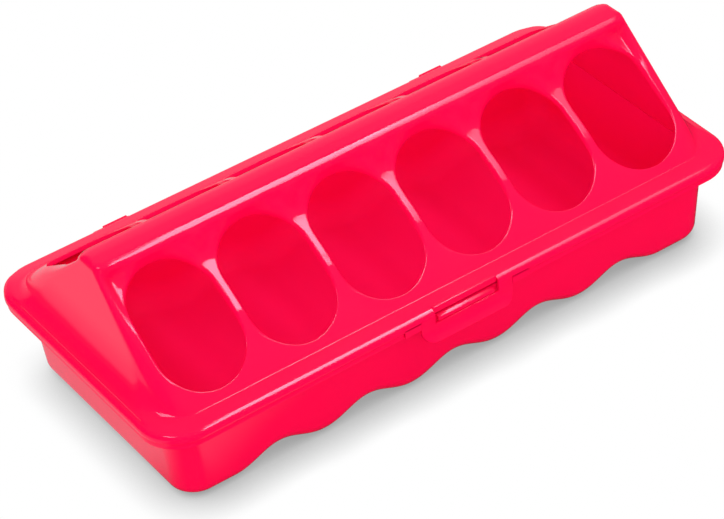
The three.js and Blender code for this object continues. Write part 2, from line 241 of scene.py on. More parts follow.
def walk_round(along, half_x, half_y, corner, inset=0):
    """Where a walk from the near side's middle, round a rounded rectangle, has led to."""
    straight = half_x - corner
    angle = np.clip((along - straight) / corner, 0, math.pi / 2)
    beyond = np.maximum(along - straight - corner * math.pi / 2, 0)
    x = np.minimum(along, straight) + (corner - inset) * np.sin(angle)
    y = -(half_y - corner + (corner - inset) * np.cos(angle)) + beyond
    return x, y


def wall_point(u, s):
    """The point of the gable's near half, before the holes' rolls press it in."""
    *sizes, z = section(s)
    x, y = walk_round(np.abs(u), *sizes)
    return np.stack(np.broadcast_arrays(np.sign(u) * x, y, z), -1)


def wall_normal(u, s):
    """The wall's outward direction, from two small steps along it."""
    step = 0.05
    across = wall_point(u + step, s) - wall_point(u - step, s)
    up = wall_point(u, s + step) - wall_point(u, s - step)
    normal = np.cross(across, up)
    return normal / np.linalg.norm(normal, axis=-1, keepdims=True)


print("middle of the near slope:", wall_point(0.0, SLOPE / 2).round(1))

# %% [markdown]
# ## Rolled holes
#
# Round each hole the plastic dips inwards, so that no edge hurts a chick's neck. The dip is deepest
# near the hole's top, so the webs between the holes sag and catch the lamp as white bars. At the
# very edge a tighter lip rolls over. A bevel on the cut edge would give only the lip. So the wall is
# pressed in by a depth that is worked out for every place, from its distance to the holes.

# %% How far the dips and lips reach
DIP_FLAT, DIP_SIDE, DIP_TOP = 5.0, 12.0, 6.0
LIP_RADIUS, LIP_TOP_SHARE = 1.25, 0.5


def ramp(value):
    """A smooth step from 0 to 1."""
    value = np.clip(value, 0, 1)
    return value * value * (3 - 2 * value)


def hole_shares(u, s):
    """How much of a hole's dip, and how much of its lip, reaches a place: both from 0 to 1."""
    missed = np.ones(np.broadcast(u, s).shape)
    rolled = np.zeros(missed.shape)
    for centre in HOLES:
        across = u - centre
        above = np.where(s > HOLE_HIGH, s - HOLE_HIGH, np.where(s < HOLE_LOW, s - HOLE_LOW, 0))
        distance = np.hypot(across, above)
        upright = np.where(above > 0, above / np.maximum(distance, 1e-6), 0) ** 2
        distance = np.maximum(distance - HOLE_WIDTH / 2, 0)
        side = 1 - ramp((distance - DIP_FLAT) / (DIP_SIDE - DIP_FLAT))
        top = np.clip(1 - distance / DIP_TOP, 0, 1) ** 2
        missed = missed * (1 - side * (1 - upright) - top * upright)
        edge = np.clip(1 - distance / LIP_RADIUS, 0, 1) ** 2
        rolled = np.maximum(rolled, edge * (1 - (1 - LIP_TOP_SHARE) * upright))
    return 1 - missed, rolled


midway_dip, midway_lip = hole_shares(np.array([0.0]), np.array([HOLE_LOW]))
print(f"midway between two holes: dip {midway_dip[0]:.2f}, lip {midway_lip[0]:.2f}")

# %% [markdown]
# ## The depth of the rolls
#
# On the real lid the dip starts about two fifths of the way up the slope, grows as it climbs, and
# fades out at the hips and below the ridge. It could be drawn by hand as a curve. Here it has a rate
# for each millimetre climbed, so that it can be matched to how far the webs sag in the photograph.
# Beside the end holes a broader dip takes its place.

# %% How deep the dips and lips press the wall in
# Places up the slope and reaches are in millimetres, rates in millimetres for each one climbed.
DIP_START, DIP_EASE, DIP_KNEE = 27.0, 10.0, 54.0
DIP_RATE, DIP_LATE_RATE = 0.21, 0.04
LIP_ROLL, LIP_START, LIP_GROW = 1.7, 10.0, 26.0
LIP_END_GAP, LIP_END_FADE = 2.0, 3.0
OUTER_DIP, OUTER_START, OUTER_END = 4.6, 15.0, 70.0
OUTER_FROM, OUTER_BLEND = 8.0, 10.0
HIP_TURN, HIP_FADE = 1.35, 1.2
RIDGE_CLEAR, RIDGE_CLEAR_END, RIDGE_FADE = 1.8, 3.6, 4.0


def roll_depth(u, s):
    """How far the holes' dips and lips press the wall in at a place."""
    early = np.clip(s - DIP_START, 0, DIP_EASE)
    steady = np.clip(s - DIP_START - DIP_EASE, 0, DIP_KNEE - DIP_START - DIP_EASE)
    late = np.clip(s - DIP_KNEE, 0, SLOPE)
    dip = DIP_RATE * (early**2 / (2 * DIP_EASE) + steady) + DIP_LATE_RATE * late
    lip = LIP_ROLL * ramp((s - LIP_START) / LIP_GROW)
    dipped, rolled = hole_shares(u, s)
    turn = np.abs(turn_angle(u, s))
    ends = ramp((HIP_TURN - turn) / HIP_FADE)
    outer = ramp((np.abs(u) - HOLES[-1] - OUTER_FROM) / OUTER_BLEND)
    outer_dip = OUTER_DIP * ramp((s - OUTER_START) / (OUTER_END - OUTER_START))
    dip = dip * (1 - outer) + outer_dip * outer
    nearby = dipped * (1 - outer) + outer
    beside_hip = ramp((FOOT_X - LIP_END_GAP - np.abs(u)) / LIP_END_FADE)
    below_ridge = ramp((SLOPE - RIDGE_CLEAR - RIDGE_CLEAR_END * np.sin(turn) ** 2 - s) / RIDGE_FADE)
    return (dip * nearby * ends + lip * rolled * beside_hip) * below_ridge


def pressed_point(u, s):
    """The lid's outer surface: the wall, pressed in by the rolls."""
    u, s = np.broadcast_arrays(np.asarray(u, float), np.asarray(s, float))
    return wall_point(u, s) - wall_normal(u, s) * roll_depth(u, s)[..., None]


for s in (30, 40, 50, 60):
    web = roll_depth(np.array([0.0]), np.array([float(s)]))[0]
    print(f"at {s} mm up the slope the web sags by {web:.2f} mm")

# %% [markdown]
# ## Columns round the lid
#
# The lid's near half is divided into columns, from the middle of the left end wall, round the
# corner and along the holes to the middle of the right end wall. Evenly spaced, they would miss the
# borders between the holes. So each hole gets a cell of its own, and corners and end walls get
# theirs. Below, the wall ends in a hollow fillet, narrow along the sides and wide at the ends, and
# above it rounds over into the ridge.

# %% Columns, and where fillet and rounding meet the wall
CELL_COLUMNS, CORNER_COLUMNS, END_COLUMNS = 20, 10, 10
WALL_ROWS = 30
CELL_EDGE = HOLES[-1] + PITCH / 2
FOOT_FILLET_SIDE, FOOT_FILLET_END, FOOT_STRETCH_END = 0.4, 7.8, 1.6
RIDGE_ROUND_SIDE, RIDGE_ROUND_END = 4.6, 2.8
side_columns = END_COLUMNS + CORNER_COLUMNS
stations = np.linspace(-CELL_EDGE, CELL_EDGE, len(HOLES) * CELL_COLUMNS + 1)


def columns_at(s):
    """The value of u on every column of the near half, at one height."""
    half_x, half_y, corner, _ = section(s)
    corner_end = half_x - corner + corner * math.pi / 2
    middle = corner_end + half_y - corner
    wall = middle + (corner_end - middle) * np.linspace(0, 1, END_COLUMNS + 1)[:-1]
    turn = corner_end + (CELL_EDGE - corner_end) * np.linspace(0, 1, CORNER_COLUMNS + 1)[:-1]
    side = np.concatenate([wall, turn])
    return np.concatenate([-side, stations, side[::-1]])


def wall_tilt(turn):
    """The wall's steepness, in radians, at a turn from the side to the end."""
    shrink = (RIDGE_CORNER - FOOT_CORNER) / SLOPE
    turn = np.abs(turn)
    inset = (END_LEAN / SLOPE + shrink) * np.sin(turn) + (RUN / SLOPE + shrink) * np.cos(turn) - shrink
    return np.arctan2(RISE / SLOPE, inset)


foot_u = columns_at(1.0)
foot_turn = turn_angle(foot_u, 1.0)
foot_tilt = wall_tilt(foot_turn)
foot_fillet = FOOT_FILLET_SIDE + (FOOT_FILLET_END - FOOT_FILLET_SIDE) * np.sin(foot_turn) ** 2
foot_stretch = 1 + FOOT_STRETCH_END * np.sin(foot_turn) ** 2
foot_start = foot_stretch * foot_fillet * (1 - np.cos(foot_tilt)) * SLOPE / RISE
top_u = columns_at(SLOPE)
top_turn = turn_angle(top_u, SLOPE)
top_tilt = wall_tilt(top_turn)
top_round = RIDGE_ROUND_SIDE + (RIDGE_ROUND_END - RIDGE_ROUND_SIDE) * np.sin(np.abs(top_turn))
top_end = SLOPE - top_round * (1 - np.cos(top_tilt)) * SLOPE / RISE
COLUMNS = len(foot_u)
print(COLUMNS, "columns, the wall is", np.degrees(foot_tilt).round(1)[[0, COLUMNS // 2]], "degrees steep")

# %% [markdown]
# ## Fillet and ridge
#
# Where the gable stands on the rim, the mould leaves a hollow fillet, and the ridge is rounded over.
# A bevel modifier has one width along its whole edge, but these radii change from the sides to the
# ends. So both are arcs, column by column. What they miss the wall by is spread over their steps.

# %% An arc between a flat and the wall
ARC_STEPS = 8


def outward(turn):
    """The level direction away from the lid, at a turn."""
    return np.stack([np.sin(turn), -np.cos(turn), np.zeros_like(turn)], -1)


def arc_rings(corner, wall, turn, tilt, radius, side, stretch=1):
    """Rings from a flat round to the wall, hollow where the side is 1 and full where it is -1."""
    tangent = radius * np.tan(tilt / 2)
    rings = []
    for k in range(ARC_STEPS + 1):
        angle = tilt * k / ARC_STEPS
        out = side * (tangent - radius * np.sin(angle))
        ring = corner + outward(turn) * out[:, None]
        ring[:, 2] += side * stretch * radius * (1 - np.cos(angle))
        rings.append(ring)
    miss = wall - rings[-1]
    return [ring + miss * (k / ARC_STEPS) for k, ring in enumerate(rings)]


print("each arc has", ARC_STEPS, "steps, and its first ring looks out to", outward(foot_turn)[0].round(2))

# %% Rings of the fillet and of the ridge
def ring_in_wall(share):
    """One ring of the wall, at a share of the way from the fillet to the ridge's rounding."""
    s = foot_start + (top_end - foot_start) * share
    u = np.array([columns_at(value)[k] for k, value in enumerate(s)])
    return u, s


def foot_rings():
    """The hollow fillet, from the rim's flat up to the wall."""
    corner = wall_point(columns_at(0.0), np.zeros(COLUMNS))
    wall = pressed_point(*ring_in_wall(0))
    rings = arc_rings(corner, wall, foot_turn, foot_tilt, foot_fillet, 1, foot_stretch)
    for ring in rings:
        ring[[0, -1], 1] = 0
    return rings


def ridge_rings():
    """The rounding from the wall over into the ridge's flat top."""
    corner = wall_point(top_u, np.full(COLUMNS, SLOPE))
    wall = pressed_point(*ring_in_wall(1))
    return arc_rings(corner, wall, top_turn, top_tilt, top_round, -1)[::-1]


print("the fillet climbs", (foot_rings()[-1][0, 2] - RIM_TOP).round(1), "mm at the end wall")

# %% [markdown]
# ## The lid's rim
#
# Outside the fillet lies a flat rim with a rounded edge and a short skirt. A plate with a bevel would
# do at first sight, but the real rim sags a little towards its edge, which bends its highlight. So
# the rim is made of rings as well, and each column of the gable is led out to a place on them.

# %% Rings of the rim
RIM_ROUND, RIM_DROP = 2.5, 0.75
RIM_STEPS = 7
SKIRT_EDGE = [(0.25, 0.0), (0.05, 0.2), (0.0, 0.6)]
FLAT_SHARES = (0.25, 0.6)
UPRIGHT_COLUMNS = 100


def walk_lengths(half_x, half_y, corner):
    """Lengths of the walk to a corner's start, to its end and to the middle of the end wall."""
    start = half_x - corner
    end = start + corner * math.pi / 2
    return [start, end, end + half_y - corner]


def outline_point(u, inset):
    """A point of the rim's outline for a column of the gable."""
    gable = walk_lengths(FOOT_X, FOOT_Y, FOOT_CORNER)
    rim = walk_lengths(LENGTH / 2, WIDTH / 2, RIM_CORNER)
    along = np.interp(np.abs(u), [0, UPRIGHT_COLUMNS, *gable], [0, UPRIGHT_COLUMNS, *rim])
    x, y = walk_round(along, LENGTH / 2, WIDTH / 2, RIM_CORNER, inset)
    return np.stack([np.sign(u) * x, y], -1)


def rim_rings():
    """From the skirt's foot up over the rounded edge and in over the flat to the fillet."""
    base_u = columns_at(0.0)
    levels = [(inset, SKIRT_FOOT + up) for inset, up in SKIRT_EDGE]
    for k in range(RIM_STEPS + 1):
        angle = math.pi / 2 * k / RIM_STEPS
        drop = RIM_DROP + RIM_ROUND * (1 - math.sin(angle))
        levels.append((RIM_ROUND * (1 - math.cos(angle)), RIM_TOP - drop))
    rings = [np.column_stack([outline_point(base_u, inset), np.full(COLUMNS, z)]) for inset, z in levels]
    outer, fillet = rings[-1], foot_rings()[0]
    return rings + [outer + (fillet - outer) * share for share in FLAT_SHARES]


print("rim:", len(rim_rings()), "rings")

# %% [markdown]
# ## A grid round each hole
#
# The holes are long, with round ends. They could be cut with a Boolean, but a cut leaves ragged
# triangles just where the lamps show every dent. So each hole sits in a cell as wide as the pitch,
# and rings of quads lead from its edge to the cell's border, closer together where the lip curves.

# %% The border of a hole's cell
def cell_border(k):
    """The places (u, s) round a cell's border, from its lower left corner, anticlockwise."""
    first = side_columns + k * CELL_COLUMNS
    last = first + CELL_COLUMNS
    shares = np.linspace(0, 1, WALL_ROWS + 1)

    def place(column, share):
        s = foot_start[column] + (top_end[column] - foot_start[column]) * share
        return foot_u[column], s

    low = [place(c, 0) for c in range(first, last)]
    right = [place(last, share) for share in shares[:-1]]
    high = [place(c, 1) for c in range(last, first, -1)]
    left = [place(first, share) for share in shares[:0:-1]]
    return np.array(low + right + high + left)


print("each cell's border has", len(cell_border(0)), "points")

# %% The hole's edge
def hole_edge(centre):
    """The hole's edge, with one place for each place of the cell's border."""
    radius = HOLE_WIDTH / 2
    arc = radius * math.pi / 4
    straight = HOLE_HIGH - HOLE_LOW

    def round_end(start, height):
        angles = [math.radians(start + 90 * k / CELL_COLUMNS) for k in range(CELL_COLUMNS)]
        return [(centre + radius * math.cos(a), height + radius * math.sin(a)) for a in angles]

    side = []
    for k in range(WALL_ROWS):
        along = (2 * arc + straight) * k / WALL_ROWS - arc
        above = min(max(along, 0), straight)
        angle = (along - above) / radius
        side.append((radius * math.cos(angle), HOLE_LOW + above + radius * math.sin(angle)))
    right = [(centre + x, s) for x, s in side]
    left = [(centre - x, HOLE_LOW + HOLE_HIGH - s) for x, s in side]
    return np.array(round_end(225, HOLE_LOW) + right + round_end(45, HOLE_HIGH) + left)


print("each hole's edge has", len(hole_edge(HOLES[0])), "points")

# %% Rings of quads between the two
HOLE_RINGS, RING_CROWDING = 10, 1.4


def cell_rings(k):
    """The rings of one cell, on the pressed wall."""
    edge, border = hole_edge(HOLES[k]), cell_border(k)
    shares = [(ring / HOLE_RINGS) ** RING_CROWDING for ring in range(HOLE_RINGS + 1)]
    return [pressed_point(*(edge + (border - edge) * share).T) for share in shares]


print("each hole has", len(cell_rings(0)), "rings")

# %% [markdown]
# ## The lid as one skin
#
# On the real lid, rim, gable and ridge are one moulding. Separate pieces pushed together would show
# a line at each joint. So the rings of rim, fillet, end walls, cells and ridge share their border
# points and merge into one skin. One more ring and a face close the ridge's flat top.

# %% The near half of the lid's skin
TOP_RING_INSET, TOP_RING_SHARE = 1.0, 0.8


def lid_skin():
    """Rim, fillet, end walls, cells and ridge."""
    skin = Skin()
    skin.add_grid(rim_rings() + foot_rings())
    wall = np.array([pressed_point(*ring_in_wall(share)) for share in np.linspace(0, 1, WALL_ROWS + 1)])
    skin.add_grid(wall[:, : side_columns + 1])
    skin.add_grid(wall[:, COLUMNS - side_columns - 1 :])
    for k in range(len(HOLES)):
        skin.add_grid(cell_rings(k), closed=True)
    ridge = ridge_rings()
    skin.add_grid(ridge)
    top = ridge[-1]
    inner = top * [1 - TOP_RING_INSET / top[:, 0].max(), TOP_RING_SHARE, 1]
    skin.add_grid([top, inner])
    skin.add_face(inner)
    return skin


near_half = lid_skin()
print("near half of the lid:", near_half.count, "points before merging")

# %% [markdown]
# ## The far slope
#
# In the photograph the gable's far foot stands 3 mm further out than a mirror image would, and the
# ridge falls a little towards that side. The far half could be made on its own, but all else in it
# is the same. So the points are moved a little, by shares that fade out where nothing changes.

# %% The far slope as photographed
FAR_FOOT_OUT, FAR_FOOT_EASE = 3.0, 40.0
FAR_CROWN, CROWN_START, CROWN_REACH = 0.55, 1.0, 6.0


def as_photographed(points):
    """The far slope's foot stands a little further out, and the ridge falls towards that side."""
    x, y, z = points.T
    share = np.clip((z - RIM_TOP) / RISE, 0, 1)
    ledge = LEDGE - RIM_ROUND
    across = np.clip((WIDTH / 2 - RIM_ROUND - y) / ledge, 0, 1)
    along = np.clip((LENGTH / 2 - RIM_ROUND - np.abs(x)) / ledge, 0, 1)
    outwards = FAR_FOOT_OUT * (1 - share) * np.clip(y / FAR_FOOT_EASE, 0, 1) * across * along
    crown = FAR_CROWN * share * np.clip((y - CROWN_START) / CROWN_REACH, 0, 1) ** 2
    return np.column_stack([x, y + outwards, z - crown])


far_foot = as_photographed(np.array([[0, FOOT_Y, RIM_TOP]]))[0]
print("the far foot moves from", FOOT_Y, "to", far_foot[1].round(2), "mm")

# %% [markdown]
# ## Solid fillets
#
# The lid's wall is an even 1.9 mm, but at the ends the hollow fillets are solid plastic. The inside
# could be filled with a second mesh, which would show a seam. Moving the inner points under the
# fillets down to the rim's underside lets the inside run straight down, as it does in the mould.

# %% Moving the inside under the end fillets
SOLID_FILLET_TOP, SOLID_FILLET_SLACK = RIM_TOP + 26, 0.1


def fill_end_fillets(lid, outer_count):
    """Under the hollow fillets of the ends the inside runs straight down."""
    underside = RIM_TOP - LID_WALL
    for vertex in list(lid.data.vertices)[outer_count:]:
        x, z = abs(vertex.co.x) / MM, vertex.co.z / MM
        inner_wall = FOOT_X - LID_WALL - END_LEAN * (z - RIM_TOP) / RISE
        if underside < z < SOLID_FILLET_TOP and x > inner_wall + SOLID_FILLET_SLACK:
            vertex.co.z = underside * MM


print("the rim's underside lies at", RIM_TOP - LID_WALL, "mm")

# %% [markdown]
# ## The lid's moulding
#
# The real lid is hollow, with a gap in its skirt for the latch. An inner skin could be written too,
# but Solidify grows it inwards and keeps the outside as it was made. A small bevel breaks the edges,
# and a T-shaped cut makes room for the latch tab and its window.

# %% The lid
CUT_EDGE, CUT_PAST_SKIRT = 0.1, 0.05
SHOULDER_HALF, SHOULDER_FOOT = 32.0, 38.9
TAB_HALF, TAB_TOP = 23.7, 43.3
WINDOW_HALF, WINDOW_FOOT = 16.5, 38.3


def make_lid():
    points, faces = near_half.mirrored()
    lid = new_piece("feeding_lid_moulding", as_photographed(points), faces)
    outer_count = len(lid.data.vertices)
    apply(lid, "SOLIDIFY", thickness=LID_WALL * MM, offset=-1)
    fill_end_fillets(lid, outer_count)
    round_edges(lid, CUT_EDGE, 2)
    front, foot = -WIDTH / 2 - OVERRUN, SHOULDER_FOOT - OVERRUN
    behind_skirt = -WIDTH / 2 + LID_WALL + CUT_PAST_SKIRT
    cut_out(lid, (-TAB_HALF, front, foot), (TAB_HALF, behind_skirt, TAB_TOP))
    cut_out(lid, (-WINDOW_HALF, front, foot), (WINDOW_HALF, behind_skirt, RIM_TOP + OVERRUN))
    smooth(lid)
    return lid


lid = make_lid()
print("lid:", len(lid.data.vertices), "points,", len(lid.data.polygons), "faces")

# %% [markdown]
# ## The latch tab
#
# The tab is a thin tongue that hangs from the rim, with a window that snaps over the catch and a
# flared lip for the finger. A block with a cut could stand for it, but the flare and its round
# corners would be hard to shape. So it is a sheet of three columns, with the window left out of the
# middle one, made solid and bevelled.

# %% The tab
TAB_FOOT, TAB_CORNER = 31.2, 6.0
TAB_FLARE, TAB_FLARE_START = 3.0, 36.6
TAB_WALL, TAB_EDGE = 1.8, 0.35


def make_tab():
    """The sheet hangs straight to the flare's start, then swings out, and narrows in round corners."""
    levels = np.concatenate([
        np.linspace(TAB_TOP, WINDOW_FOOT, 6),
        np.linspace(WINDOW_FOOT, TAB_FLARE_START, 4)[1:],
        np.linspace(TAB_FLARE_START, TAB_FOOT, 17)[1:],
    ])
    points, faces = [], []
    for row, z in enumerate(levels):
        into_corner = max(TAB_FOOT + TAB_CORNER - z, 0)
        half = TAB_HALF - TAB_CORNER + math.sqrt(max(TAB_CORNER**2 - into_corner**2, 0))
        share = max(TAB_FLARE_START - z, 0) / (TAB_FLARE_START - TAB_FOOT)
        y = -WIDTH / 2 - TAB_FLARE * share**2
        inner = min(WINDOW_HALF, half)
        points += [(x, y, z) for x in (-half, -inner, inner, half)]
        if row:
            low, high = 4 * (row - 1), 4 * row
            for column in range(3):
                in_window = column == 1 and z > WINDOW_FOOT - 0.01
                if not in_window:
                    faces.append((low + column, high + column, high + column + 1, low + column + 1))
    tab = new_piece("latch_tab_moulding", points, faces)
    if sum(face.normal.y * face.area for face in tab.data.polygons) > 0:
        tab.data.flip_normals()
    apply(tab, "SOLIDIFY", thickness=TAB_WALL * MM, offset=-1, use_even_offset=True)
    for vertex in tab.data.vertices:
        vertex.co.z = max(vertex.co.z, TAB_FOOT * MM)
    round_edges(tab, TAB_EDGE, 3)
    smooth(tab)
    return tab


tab = make_tab()
print("tab:", len(tab.data.polygons), "faces")

# %% [markdown]
# ## Shoulders and rib
#
# Beside the tab the skirt reaches deeper, as a shoulder on either side, and behind the window a rib
# stands under the rim. They could be scaled cubes, but a block between two corners takes its sizes
# straight from the list, as exact as the lid's. A bevel rounds the rib where the lamps pick it out.

# %% Shoulders and rib
LATCH_FACE = WIDTH / 2 - TAB_WALL
SHOULDER_TOP, SHOULDER_GAP = SKIRT_FOOT + 1.0, 0.05
RIB_HALF, RIB_FOOT, RIB_TOP = 16.4, 42.6, 45.95
RIB_OUT, RIB_IN, RIB_EDGE = 0.3, 1.5, 0.5


def make_shoulder(name, from_x, to_x):
    low = (from_x, -WIDTH / 2, SHOULDER_FOOT)
    return new_piece(name, *slab(low, (to_x, -LATCH_FACE, SHOULDER_TOP)))


def make_rib():
    low = (-RIB_HALF, -LATCH_FACE - RIB_OUT, RIB_FOOT)
    rib = new_piece("latch_rib", *slab(low, (RIB_HALF, -LATCH_FACE + RIB_IN, RIB_TOP)))
    round_edges(rib, RIB_EDGE, 4)
    smooth(rib)
    return rib


shoulders = [
    make_shoulder("latch_shoulder_left", -SHOULDER_HALF, -TAB_HALF - SHOULDER_GAP),
    make_shoulder("latch_shoulder_right", TAB_HALF + SHOULDER_GAP, SHOULDER_HALF),
]
rib = make_rib()
print("rib:", len(rib.data.polygons), "faces")

# %% [markdown]
# ## The catch
#
# On the trough sits the catch, a wedge with a sloped top, which pushes the tab aside until its
# window snaps over. A cube could be cut to that form, but five written points give the wedge's
# outline at once, and two copies of it make the block. A narrow bevel rounds the nose.

# %% The catch
CATCH_HALF, CATCH_FRONT, CATCH_BACK = 14.5, -WIDTH / 2 + 0.5, -WIDTH / 2 + 2.35
CATCH_FOOT, CATCH_NOSE, CATCH_BROW, CATCH_TOP = 38.7, 39.95, 40.35, 41.3
CATCH_BROW_INSET, CATCH_EDGE = 0.15, 0.2


def make_catch():
    """The wedge that the tab's window snaps over."""
    outline = [
        (CATCH_BACK, CATCH_TOP),
        (CATCH_FRONT + CATCH_BROW_INSET, CATCH_BROW),
        (CATCH_FRONT, CATCH_NOSE),
        (CATCH_FRONT, CATCH_FOOT),
        (CATCH_BACK, CATCH_FOOT),
    ]
    points = [(x, y, z) for x in (-CATCH_HALF, CATCH_HALF) for y, z in outline]
    sides = [(k, (k + 1) % 5, (k + 1) % 5 + 5, k + 5) for k in range(5)]
    catch = new_piece("latch_catch_moulding", points, sides + [(4, 3, 2, 1, 0), (5, 6, 7, 8, 9)])
    round_edges(catch, CATCH_EDGE, 3, from_angle=30)
    smooth(catch)
    return catch


catch = make_catch()
print("catch:", len(catch.data.polygons), "faces")

# %% [markdown]
# ## The waved floor
#
# The trough's floor arches between the holes, so that the feed gathers below them. A texture could
# push a flat floor up and down, but it would be hard to line up with the holes. A cosine gives every
# arch the same round top and lets it run out flat under each hole.

# %% The height of the waved floor
ARCH_RISE, FOOT_FLAT = 6.0, 1.0


def floor_height(x):
    """Height of the waved floor: flat feet under the holes and arches between them."""
    last = HOLES[-1]
    along = np.mod(x + last, PITCH)
    from_foot = np.minimum(along, PITCH - along)
    climb = np.clip((from_foot - FOOT_FLAT / 2) / (PITCH / 2 - FOOT_FLAT / 2), 0, 1)
    wave = ARCH_RISE / 2 * (1 - np.cos(math.pi * climb))
    return np.where(np.abs(x) >= last, 0, wave)


print("the floor arches by", float(floor_height(0.0)), "mm between the holes")

# %% [markdown]
# ## The trough's rings
#
# The trough is a deep tray with round corners, and its walls lean out a little, so that it comes out
# of the mould. In a tray made from a box the wave would kink where it meets the walls. So the trough
# is a stack of rings, and the lowest ones carry the wave on up the rounding of the floor.

# %% One ring of the trough
WALL_INSET, FLOOR_INSET, END_INSET = 9.2, 10.5, 12.0
CORNER_STEPS = 12


def trough_ring(inset, corner, z, wave_share, stations_x):
    """The near half of a ring, from the left end's middle to the right end's middle."""
    lean = np.clip((inset - WALL_INSET) / (FLOOR_INSET - WALL_INSET), 0, 1)
    half_x = LENGTH / 2 - inset - lean * (END_INSET - FLOOR_INSET)
    half_y = WIDTH / 2 - inset
    left = [(-half_x, 0.0), (-half_x, -(half_y - corner) / 2)]
    for turn in np.linspace(0, math.pi / 2, CORNER_STEPS + 1):
        x = -half_x + corner - corner * math.cos(turn)
        left.append((x, -half_y + corner - corner * math.sin(turn)))
    middle = [(x, -half_y) for x in stations_x]
    right = [(-x, y) for x, y in reversed(left)]
    flat = np.array(left + middle + right)
    height = z + wave_share * floor_height(flat[:, 0])
    return np.column_stack([flat, height])


print("the walls lean out by", round(FLOOR_INSET - WALL_INSET, 1), "mm")

# %% [markdown]
# ## The trough's profile
#
# From the outer floor the profile runs up the outside, over the lip and the raised seat for the lid,
# and down the inside. Bevels on a plain tray could round it, but lip and seat have small radii of
# their own. So their corners are written down, and the large roundings of the floor are worked out.

# %% Lip and seat
TROUGH_TOP = SKIRT_FOOT - 0.3
WALL_CORNER = 12.0
LIP_IN, LIP_OUT, LIP_THICK = 2.3, 0.8, 1.8
LIP_FOOT = TROUGH_TOP - 3.0
INNER_EDGE, OUTER_EDGE, TOP_EDGE, TOP_EDGE_MIDDLE = 0.2, 0.25, 0.4, 0.12
SEAT_TOP, SEAT_OUT = RIM_TOP - LID_WALL - 0.06, WALL_INSET - 2.8
SEAT_EDGE = 0.3


def lip_and_seat():
    """The corners of the profile above the outer wall: inset, corner radius, height, share of wave."""
    under = TROUGH_TOP - LIP_THICK
    corner_in, corner_out = RIM_CORNER - LIP_IN, RIM_CORNER - LIP_OUT
    levels = [
        (WALL_INSET, WALL_CORNER, under),
        (LIP_IN, corner_in, under),
        (LIP_IN, corner_in, LIP_FOOT + INNER_EDGE),
        (LIP_IN - INNER_EDGE, corner_in, LIP_FOOT),
        (LIP_OUT + OUTER_EDGE, corner_out, LIP_FOOT),
        (LIP_OUT, corner_out, LIP_FOOT + OUTER_EDGE),
        (LIP_OUT, corner_out, TROUGH_TOP - TOP_EDGE),
        (LIP_OUT + TOP_EDGE_MIDDLE, corner_out, TROUGH_TOP - TOP_EDGE_MIDDLE),
        (LIP_OUT + TOP_EDGE, corner_out, TROUGH_TOP),
        (SEAT_OUT - SEAT_EDGE, WALL_CORNER, TROUGH_TOP),
        (SEAT_OUT, WALL_CORNER, TROUGH_TOP + SEAT_EDGE),
        (SEAT_OUT, WALL_CORNER, SEAT_TOP - SEAT_EDGE),
        (SEAT_OUT + SEAT_EDGE, WALL_CORNER, SEAT_TOP),
    ]
    return [(*level, 0.0) for level in levels]


print("lip and seat:", len(lip_and_seat()), "rings")

# %% The whole profile
TROUGH_WALL = 2.0
FLOOR_ROUND, FLOOR_STEPS = 6.6, 10
INNER_ROUND, INNER_STEPS = 12.0, 12
SEAT_ROUND, SEAT_STEPS = 0.1, 4


def floor_rounding(wall_inset, corner, z, radius, steps):
    """The rounding from a floor up to a wall, which carries the wave along."""
    levels = []
    for k in range(steps + 1):
        angle = math.pi / 2 * k / steps
        inset = wall_inset + radius * (1 - math.sin(angle))
        levels.append((inset, corner - (inset - wall_inset) / 2, z + radius * (1 - math.cos(angle)), 1.0))
    return levels


def trough_profile():
    """The whole profile, from the outer floor round to the inner floor."""
    profile = floor_rounding(FLOOR_INSET, WALL_CORNER, 0, FLOOR_ROUND, FLOOR_STEPS) + lip_and_seat()
    seat_in, inner_corner = WALL_INSET + TROUGH_WALL, WALL_CORNER - TROUGH_WALL
    for k in range(SEAT_STEPS + 1):
        angle = math.pi / 2 * k / SEAT_STEPS
        inset = seat_in - SEAT_ROUND + SEAT_ROUND * math.sin(angle)
        profile.append((inset, inner_corner, SEAT_TOP - SEAT_ROUND + SEAT_ROUND * math.cos(angle), 0.0))
    inside = floor_rounding(FLOOR_INSET + TROUGH_WALL, inner_corner, TROUGH_WALL, INNER_ROUND, INNER_STEPS)
    return profile + inside[::-1]


print("the whole profile:", len(trough_profile()), "rings")

# %% [markdown]
# ## The trough
#
# The rings join into one skin, and both floors are closed across the middle. Solidify could make the
# inside, but the profile already holds it, so the wall can be thin at the sides and thicker at lip
# and seat, as in the mould. In front, the lip is cut away for the latch.

# %% The trough
STRAIGHT_HALF, STRAIGHT_STEPS, FLOOR_STRIPS = 118, 118, 3
LATCH_GAP = 0.3


def close_floor(skin, ring):
    """Closes a floor between its edge and the feeder's middle plane."""
    waved = ring[np.abs(ring[:, 0]) < HOLES[-1]]
    spine = waved * [1, 0, 1]
    shares = np.linspace(0, 1, FLOOR_STRIPS + 1)
    skin.add_grid([waved + (spine - waved) * share for share in shares])
    left, right = ring[ring[:, 0] < -HOLES[-1]], ring[ring[:, 0] > HOLES[-1]]
    skin.add_face([*left, waved[0], spine[0]])
    skin.add_face([*right, spine[-1], waved[-1]])


def make_trough():
    stations_x = np.linspace(-STRAIGHT_HALF, STRAIGHT_HALF, STRAIGHT_STEPS + 1)
    rings = [trough_ring(*level, stations_x) for level in trough_profile()]
    skin = Skin()
    skin.add_grid(rings)
    close_floor(skin, rings[0])
    close_floor(skin, rings[-1])
    trough = new_piece("feed_trough_moulding", *skin.mirrored())
    gap = SHOULDER_HALF + LATCH_GAP
    low = (-gap, -WIDTH / 2 - OVERRUN, LIP_FOOT - OVERRUN)
    cut_out(trough, low, (gap, -WIDTH / 2 + LIP_IN, TROUGH_TOP + OVERRUN))
    smooth(trough)
    return trough


